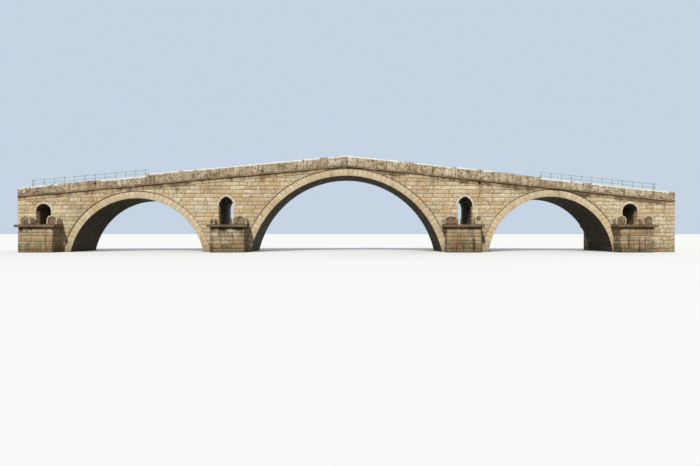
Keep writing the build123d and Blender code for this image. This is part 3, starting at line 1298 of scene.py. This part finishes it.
def buildCheeks(node):
    sizes = cheekSizes
    piece = merged(node)
    bpy.ops.object.mode_set(mode="OBJECT")
    stones = islands(piece.data)
    applied(piece, "REMESH", {"mode": "VOXEL", "voxel_size": sizes["voxel"]})
    applied(piece, "SMOOTH", sizes["smoothing"])
    mesh = piece.data
    side = math.copysign(1, mesh.vertices[0].co.y)
    tones, hues, dirt = (
        mesh.attributes.new(name, "FLOAT", "POINT").data.values()
        for name in ("stoneTone", "stoneHue", "jointShade")
    )
    shoulder = sill + sizes["shoulder"]
    normals = [vert.normal.copy() for vert in mesh.vertices]
    for number, vert in enumerate(mesh.vertices):
        x, z = vert.co.x, vert.co.z
        low, high, top = next(stone for stone in stones if stone[0] - 0.03 < x < stone[1] + 0.03)
        half = (high - low) / 2
        rise = top - shoulder
        curve = (half ** 2 + rise ** 2) / (2 * rise)
        fromSide = half - abs(x - low - half)
        fromCurve = curve - math.hypot(x - low - half, z - top + curve)
        inset = (min(fromSide, fromCurve) - sizes["border"]) / sizes["groove"]
        carved = 1.0 if normals[number].y * side > 0.7 else 0.0
        groove = carved * math.exp(-inset ** 2)
        panel = carved * min(max(inset, 0.0), 1.0)
        mottle = noise.noise(vert.co * sizes["mottleScale"])
        tone = sizes["borderTone"] + sizes["mottleTone"] * mottle
        tones[number].value = tone - sizes["panelDark"] * panel
        hues[number].value = 0.3 + sizes["panelWarm"] * panel
        atFoot = sizes["footDirt"] - (z - sill) * sizes["footFade"]
        spots = panel * (mottle - 0.1) * 2
        inGroove = groove * (0.75 + mottle)
        dirt[number].value = max(atFoot, inGroove, spots, 0.0)
        lumps = noise.noise(vert.co * sizes["roughScale"]) * sizes["rough"]
        pits = noise.noise(vert.co * sizes["pittedScale"]) * sizes["pitted"]
        vert.co += normals[number] * (lumps + pits)
        vert.co.y -= side * (groove * sizes["grooveDepth"] + panel * sizes["panelDepth"])
        if vert.co.z < sill + sizes["bed"]:
            vert.co.z = sill + hair  # it beds flat on its slab
        vert.co.y = side * max(abs(vert.co.y), faceY + hair)
    only(piece)
    bpy.ops.object.shade_smooth()
    handOver(piece, node, "coping_stone", cheekStone)


for node in nodesEnding("_cheek_stones"):
    buildCheeks(node)
print("cheek stones made")


# Cornices, parapets and roadways along the deck

corniceSizes = {"lengths": (0.55, 1.15)}
corniceCutting = commonCutting | {
    "gap": 0.011,
    "worn": 0.009,
    "depth": 0.012,
    "cushion": 0.003,
    "least": 0.008,
    "uneven": 0.003,
    "tilt": 0.004,
    "wander": 0.006,
    "shortEdge": 0.004,
}
parapetSizes = {
    "lengths": (0.27, 0.78),
    "slant": 0.03,
    "clear": 0.2,  # between a joint and a drain or the step
    "byStep": 0.03,  # this near the step, a point's height tells on which part it is
    "drop": (0, 0.016),  # how far a slab's top may lie below its neighbours
    "lumpy": (7.6, 10.25),  # where the slabs are low, uneven and unpainted
    "lumpyDrop": (0.01, 0.075),
    "unpainted": 0.05,  # share of the slabs
    "lowUnpainted": 0.3,
    "drains": ((-13.17, 0.35), (-4.4, 0.17)),  # along the bridge, and above the deck
    "drainHalf": 0.04,
    "drainDepth": 0.12,
}
parapetCutting = commonCutting | {
    "worn": 0.018,
    "edgeDirt": 0.45,
    "uprightDirt": 0.5,
    "arris": 0.007,
    "cushion": 0.005,
    "uneven": 0.006,
    "wander": 0.008,
}
roadSizes = {"lengths": (0.3, 0.52), "rows": (0.34, 0.5), "slant": 0.005}
roadCutting = commonCutting | {
    "gap": 0.016,
    "worn": 0.02,
    "cushion": 0.006,
    "uneven": 0.006,
    "least": 0.06,
}


def towardsMiddle(face):  # the hidden end, where left and right pieces meet
    return looks(face, "x") and abs(face.calc_center_median().x) < hair


def buildCornice(node):
    back = min(abs(corner.y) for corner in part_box(node))
    cornice = Masonry(node, lambda face: not behind(face, back) and not towardsMiddle(face))
    cornice.acrossX(cornice.stagger(cornice.low.x, cornice.high.x, corniceSizes["lengths"]))
    return cornice.complete(corniceCutting, "coping_stone", corniceStone)


def buildParapet(node):
    hand = -1 if "left" in node else 1
    end = leftEnd if hand < 0 else rightEnd
    heights = [(p.x, p.z - deckLevel(p.x)) for p in corners(node)]
    step = max(abs(x) for x, height in heights if height > parapetTop - 0.01)
    lowTop = max(height for x, height in heights if abs(x - end) < hair)
    foot = min(height for x, height in heights)
    parapet = Masonry(node, lambda face: face.normal.z > -0.5 and not towardsMiddle(face))
    parapet.cut((hand * step, 0, 0), (1, 0, 0))
    drains = [place for place in parapetSizes["drains"] if place[0] * hand > 0]
    kept = [hand * step] + [place[0] for place in drains]
    ends = parapet.low.x, parapet.high.x
    joints = parapet.stagger(*ends, parapetSizes["lengths"], kept, parapetSizes["clear"])
    parapet.acrossX(joints, slant=parapetSizes["slant"])
    side = 1 if parapet.low.y > 0 else -1
    for x, above in drains:
        parapet.acrossX([x], slant=0.0)
        parapet.pierce(x, deckLevel(x) + above, parapetSizes["drainHalf"], side)
    rng = parapet.rng
    byStep = parapetSizes["byStep"]

    def settleTops(mesh):
        stone = mesh.faces.layers.int["stone"]
        wash = mesh.faces.layers.float["limewash"]
        fromTop = mesh.verts.layers.float["fromTop"]
        middles = {}
        for face in mesh.faces:
            middles.setdefault(face[stone], []).append(face.calc_center_median().x)
        drops = {}
        painted = {}
        for number in sorted(middles):
            x = sum(middles[number]) / len(middles[number])
            rough = parapetSizes["lumpy"][0] < x < parapetSizes["lumpy"][1]
            drops[number] = rng.uniform(*parapetSizes["lumpyDrop" if rough else "drop"])
            share = parapetSizes["unpainted" if abs(x) < step else "lowUnpainted"]
            painted[number] = 0.0 if rough or rng.random() < share else 1.0
        for face in mesh.faces:
            face[wash] = painted[face[stone]]
        for vert in mesh.verts:
            x = abs(vert.co.x)
            height = vert.co.z - deckLevel(vert.co.x)
            isHigh = x < step - byStep or x < step + byStep and height > lowTop + 0.01
            top = parapetTop if isHigh else lowTop
            vert[fromTop] = top - height
            share = min(max((height - foot) / (top - foot), 0.0), 1.0)
            linked = [drops[face[stone]] for face in vert.link_faces]
            vert.co.z -= share * sum(linked) / len(linked)

    finish = "parapet_stone", parapetStone
    depth = parapetSizes["drainDepth"]
    return parapet.complete(parapetCutting, *finish, topOf=settleTops, drainDepth=depth)


def buildRoadway(node):
    road = Masonry(node, lambda face: face.normal.z > 0.5 or atBridgeEnd(face))
    rows = road.stagger(road.low.x, road.high.x, roadSizes["rows"])
    road.acrossX(rows, slant=0.0)
    road.number(lambda face: rowOf(face, "x", rows))

    def leanOf(row):
        return 0, (road.rng.uniform(-1, 1) * roadSizes["slant"], 1, 0)

    numbers = range(1, len(rows) + 2)
    road.acrossY(numbers, roadSizes["lengths"], lambda face: face.normal.z > 0.5, leanOf)
    return road.complete(roadCutting, "paving_stone", pavingStone)


buildAll("cornices", [(buildCornice, "_cornice")])
buildAll("parapets", [(buildParapet, "_parapet")])
buildAll("roadways", [(buildRoadway, "_roadway")])


# Rubble between the walls, which shows where the bridge is cut off at its ends

rubbleSizes = {"lengths": (0.14, 0.34), "slant": 0.12, "courseTilt": 0.02}
rubbleCutting = commonCutting | {
    "gap": 0.03,
    "worn": 0.02,
    "depth": 0.03,
    "uneven": 0.02,
    "tilt": 0.12,
    "cushion": 0.01,
    "wander": 0.02,
    "least": 0.05,
}


def buildRubble(node):
    fill = Masonry(node, atBridgeEnd)
    levels = bedsBetween(fill.low.z, fill.high.z)
    tilt = rubbleSizes["courseTilt"]
    for level in levels:
        fill.cut((0, 0, level), (0, fill.rng.uniform(-tilt, tilt), 1))
    fill.number(lambda face: rowOf(face, "z", levels))

    def leanOf(number):
        middle = (fill.low.z + fill.high.z) / 2
        if levels:
            middle = courseStep * (number + courseSizes["belowSill"] - 0.5)
        return middle, (0, 1, fill.rng.uniform(-1, 1) * rubbleSizes["slant"])

    fill.acrossY(range(1, len(levels) + 2), rubbleSizes["lengths"], None, leanOf)
    return fill.complete(rubbleCutting, "rubble_core", rubbleStone)


buildAll("rubble ends", [(buildRubble, "_end_fill")])
for node in nodesEnding("_pier_fill"):  # wholly inside the masonry
    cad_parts[node].data.materials.clear()
    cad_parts[node].data.materials.append(rubbleStone)


# Railings of painted bar on the low parapets

railSizes = {
    "bays": 11,
    "spacing": 0.535,
    "pair": 0.08,
    "post": 0.036,
    "height": 0.35,
    "rail": 0.03,
    "railLevels": (0.14, 0.31),
    "plate": (0.1, 0.07, 0.007),
    "cap": (0.046, 0.046, 0.01),
    "collar": (0.046, 0.05, 0.044),
    "bolt": 0.009,
    "boltPlace": 0.36,  # share of the plate's length
    "bevel": 0.003,
}


def bar(size, place, bevel=railSizes["bevel"]):
    # a square bar with worn edges
    bpy.ops.mesh.primitive_cube_add(size=1, location=(0, 0, 0))
    piece = bpy.context.object
    bpy.ops.object.mode_set(mode="EDIT")
    bpy.ops.transform.resize(value=size)
    bpy.ops.mesh.bevel(offset=bevel, segments=2, affect="EDGES")
    bpy.ops.transform.translate(value=place)
    bpy.ops.object.mode_set(mode="OBJECT")
    return piece


def asOne(pieces):
    only(*pieces)
    bpy.ops.object.join()
    return pieces[0]


def buildPost():
    post, height, bolt = (railSizes[name] for name in ("post", "height", "bolt"))
    plate, cap = railSizes["plate"], railSizes["cap"]
    thin = plate[2]
    parts = [
        bar((post, post, height), (0, 0, height / 2)),
        bar(plate, (0, 0, thin / 2), thin / 4),
        bar(cap, (0, 0, height - cap[2] / 2)),
    ]
    for level in railSizes["railLevels"]:
        parts.append(bar(railSizes["collar"], (0, 0, level)))
    for hand in (-1, 1):
        place = (hand * plate[0] * railSizes["boltPlace"], 0, thin + bolt / 3)
        bpy.ops.mesh.primitive_cylinder_add(vertices=6, radius=bolt, depth=bolt, location=place)
        bpy.ops.object.transform_apply(location=True)
        parts.append(bpy.context.object)
    return asOne(parts)


def buildRailing(node, post):
    low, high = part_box(node)
    sizes = railSizes
    hand = -1 if high.x < 0 else 1
    y = (low.y + high.y) / 2
    first = high.x - sizes["post"] / 2 if hand < 0 else low.x + sizes["post"] / 2
    places = [first + hand * bay * sizes["spacing"] for bay in range(sizes["bays"] + 1)]
    places.append(places[-1] + hand * sizes["pair"])
    footAt = max(corner.z for corner in corners(node)) - sizes["height"]
    foot = footAt - deckLevel(first - hand * sizes["post"] / 2)
    parts = []
    for x in places:
        one = bpy.data.objects.new("post", post.data.copy())
        bpy.context.scene.collection.objects.link(one)
        slope = deckLevel(x + 0.5) - deckLevel(x - 0.5)
        for vert in one.data.vertices:
            vert.co += Vector((x, y, deckLevel(x) + foot + slope * vert.co.x))
        parts.append(one)
    length = abs(places[-1] - places[0])
    middle = (places[0] + places[-1]) / 2
    for level in sizes["railLevels"]:
        rail = bar((length, sizes["rail"], sizes["rail"]), (middle, y, 0))
        for vert in rail.data.vertices:
            vert.co.z += deckLevel(vert.co.x) + foot + level
        parts.append(rail)
    railing = asOne(parts)
    only(railing)
    bpy.ops.object.shade_smooth_by_angle(angle=math.radians(30))
    handOver(railing, node, "railing_metal", railPaint)


post = buildPost()
for node in nodesEnding("_railing"):
    buildRailing(node, post)
bpy.data.objects.remove(post)
print("railings made")


# Camera, light and floor

cameraSizes = {"place": (0.195, -30.75, 1.0), "lens": 28.65, "sensor": 36.0}
bpy.ops.object.camera_add(location=cameraSizes["place"], rotation=(math.pi / 2, 0, 0))
camera = bpy.context.object
camera.data.lens = cameraSizes["lens"]
camera.data.sensor_width = cameraSizes["sensor"]
bpy.context.scene.camera = camera

lightSizes = {
    "ambient": ((0.88, 0.94, 1.0, 1), 0.48),  # colour and strength
    "backdrop": (shade(198, 212, 228), 1.0),
    "suns": (  # strength, turn, width and colour
        (2.8, (48, 0, -16), 2.0, (1.0, 0.975, 0.93)),
        (0.7, (66, 0, 150), 30.0, (0.95, 0.97, 1.0)),  # a weak fill from behind
    ),
}
for strength, turn, width, colour in lightSizes["suns"]:
    bpy.ops.object.light_add(type="SUN", rotation=[math.radians(angle) for angle in turn])
    sun = bpy.context.object
    sun.data.energy = strength
    sun.data.angle = math.radians(width)
    sun.data.color = colour


def background(finish, name):
    colour, strength = finish.look[name]
    return finish.add("ShaderNodeBackground", {}, {"Color": colour, "Strength": strength})


studio = Finish(bpy.data.worlds.new("studio"), lightSizes)
ambient, backdrop = background(studio, "ambient"), background(studio, "backdrop")
mixed = {0: studio.backdropFactor(), 1: ambient, 2: backdrop}
studio.output(studio.add("ShaderNodeMixShader", {}, mixed), "ShaderNodeOutputWorld")
bpy.context.scene.world = studio.holder

floorSizes = {
    "width": 900.0,
    "drop": 0.001,
    "colour": shade(90, 90, 87),
    "seen": shade(238, 238, 236),  # straight to the camera
}
bpy.ops.mesh.primitive_plane_add(size=floorSizes["width"], location=(0, 0, -floorSizes["drop"]))
floor = bpy.context.object
floor.name = "studioFloor"
paint = Finish(bpy.data.materials.new("studioFloorPaint"), floorSizes)
floorColour = paint.blend(paint.backdropFactor(), floorSizes["colour"], floorSizes["seen"])
floorCoat = paint.add("ShaderNodeBsdfDiffuse", {}, {"Color": floorColour})
floor.data.materials.append(paint.output(floorCoat))
print("camera, light and floor made")

bpy.context.scene.view_settings.view_transform = "Standard"
